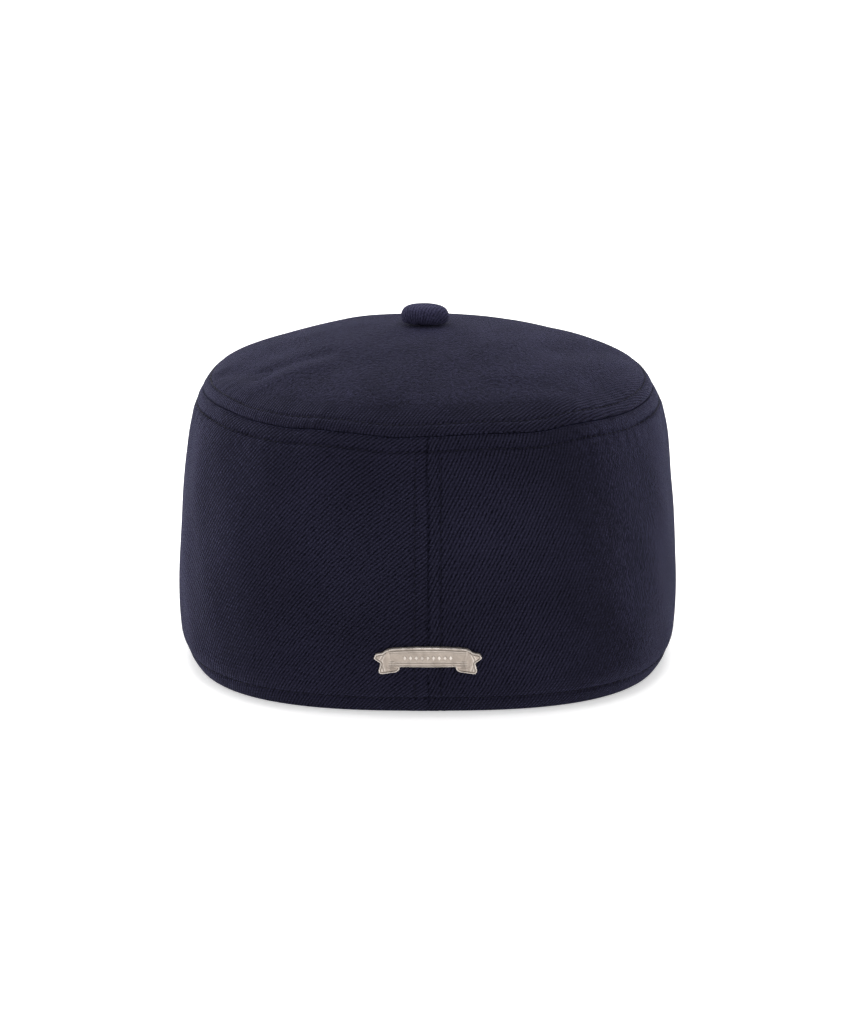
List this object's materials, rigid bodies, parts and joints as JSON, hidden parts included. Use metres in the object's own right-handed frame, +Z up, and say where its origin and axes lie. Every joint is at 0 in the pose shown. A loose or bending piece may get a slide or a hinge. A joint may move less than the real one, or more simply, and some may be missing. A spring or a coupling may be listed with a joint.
{
  "type": "pillbox cap",
  "caption": "Brimless round cap with a straight side band, a shallow domed crown, a covered button on top and a small metal ribbon badge over the back seam.",
  "frame": {"origin": "middle of the rim, on the plane that the rim rests on", "axes": "+Z up, -Y towards the back with the seam and the badge, +Y towards the brow, +X to the right of someone who looks at the back"},
  "size_m": [0.18, 0.2098, 0.1251],
  "materials": {
    "band_twill": "navy wool twill, matt with a soft nap",
    "crown_twill": "navy wool twill, matt with a soft nap",
    "button_twill": "navy wool twill stretched over a mould",
    "badge_metal": "pale satin metal, cast relief"
  },
  "bodies": {
    "root": {"side_band": "band_twill", "crown_top": "crown_twill", "top_button": "button_twill", "ribbon_badge": "badge_metal"}
  },
  "joints": []
}
